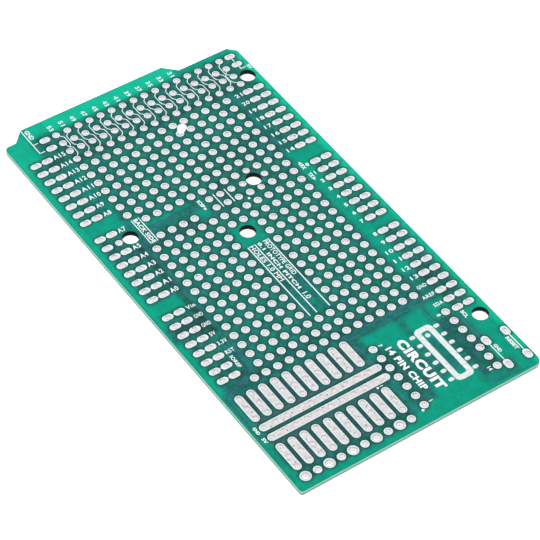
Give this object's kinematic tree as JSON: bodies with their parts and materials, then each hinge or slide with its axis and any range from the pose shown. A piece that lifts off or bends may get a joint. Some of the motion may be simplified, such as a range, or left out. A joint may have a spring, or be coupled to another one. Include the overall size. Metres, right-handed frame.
{
  "type": "prototyping shield board",
  "caption": "Bare drilled prototyping shield for a long-format microcontroller board, green mask, tinned grid pads, bus bars and component strips.",
  "frame": {"origin": "middle of the board's outline, on its underside, the component side", "axes": "+X along the length towards the component strips, +Y across the width towards the digital header row, +Z out of the solder side"},
  "size_m": [0.1014, 0.0532, 0.0012],
  "materials": {
    "laminate": "glass-epoxy laminate, cut edges",
    "solder_mask": "glossy green solder mask",
    "copper": "copper foil, covered by the mask",
    "tinned_copper": "hot-air levelled tin on copper"
  },
  "bodies": {
    "root": {"fr4_laminate": "laminate", "front_solder_mask": "solder_mask", "back_solder_mask": "solder_mask", "reset_track": "copper", "five_volt_feed_track": "copper", "ground_feed_track": "copper", "ground_bus_link_track": "copper", "button_ground_track": "copper", "ground_bus": "tinned_copper", "five_volt_bus": "tinned_copper", "strip_left_01": "tinned_copper", "strip_left_02": "tinned_copper", "strip_left_03": "tinned_copper", "strip_left_04": "tinned_copper", "strip_left_05": "tinned_copper", "strip_left_06": "tinned_copper", "strip_left_07": "tinned_copper", "strip_left_08": "tinned_copper", "strip_left_09": "tinned_copper", "strip_left_10": "tinned_copper", "strip_right_01": "tinned_copper", "strip_right_02": "tinned_copper", "strip_right_03": "tinned_copper", "strip_right_04": "tinned_copper", "strip_right_05": "tinned_copper", "strip_right_06": "tinned_copper", "strip_right_07": "tinned_copper", "strip_right_08": "tinned_copper", "strip_right_09": "tinned_copper", "strip_right_10": "tinned_copper", "end_pad_01": "tinned_copper", "end_pad_02": "tinned_copper", "end_pad_03": "tinned_copper", "end_pad_04": "tinned_copper", "end_pad_05": "tinned_copper", "end_pad_06": "tinned_copper", "end_pad_07": "tinned_copper", "end_pad_08": "tinned_copper", "end_pad_09": "tinned_copper", "end_pad_10": "tinned_copper", "chip_pad_01": "tinned_copper", "chip_pad_02": "tinned_copper", "chip_pad_03": "tinned_copper", "chip_pad_04": "tinned_copper", "chip_pad_05": "tinned_copper", "chip_pad_06": "tinned_copper", "chip_pad_07": "tinned_copper", "chip_pad_08": "tinned_copper", "chip_pad_09": "tinned_copper", "chip_pad_10": "tinned_copper", "chip_pad_11": "tinned_copper", "chip_pad_12": "tinned_copper", "chip_pad_13": "tinned_copper", "chip_pad_14": "tinned_copper", "reset_button_pad_1": "tinned_copper", "reset_button_pad_2": "tinned_copper", "ground_button_pad_1": "tinned_copper", "ground_button_pad_2": "tinned_copper"}
  },
  "joints": []
}
